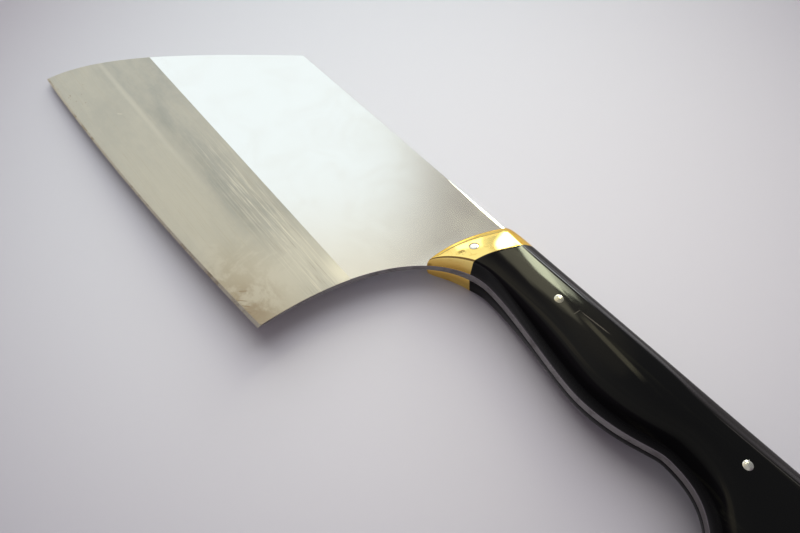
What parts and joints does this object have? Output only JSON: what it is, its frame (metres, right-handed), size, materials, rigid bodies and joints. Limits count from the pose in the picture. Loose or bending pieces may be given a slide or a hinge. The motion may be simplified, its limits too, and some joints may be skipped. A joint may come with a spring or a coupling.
{
  "type": "chinese cleaver",
  "caption": "Broad raked cleaver blade ground thin below a bright flat, with a full tang, brass bolsters and riveted black scales that end in a hooked pommel",
  "frame": {"origin": "the middle of the overall box, on the mid-plane of the steel", "axes": "+X from the blade's toe towards the butt, +Y from the cutting edge towards the spine, +Z through the thickness towards the left side, which the picture shows"},
  "size_m": [0.3579, 0.1053, 0.0234],
  "materials": {
    "steel": "polished flats over a wide matt grind with lengthwise scratches",
    "brass": "polished, slightly dulled",
    "horn": "polished black horn",
    "pin_steel": "polished"
  },
  "bodies": {
    "root": {"blade": "steel", "bolster_left": "brass", "bolster_right": "brass", "bolster_pin": "pin_steel", "scale_left": "horn", "scale_right": "horn", "front_handle_pin": "pin_steel", "rear_handle_pin": "pin_steel"}
  },
  "joints": []
}
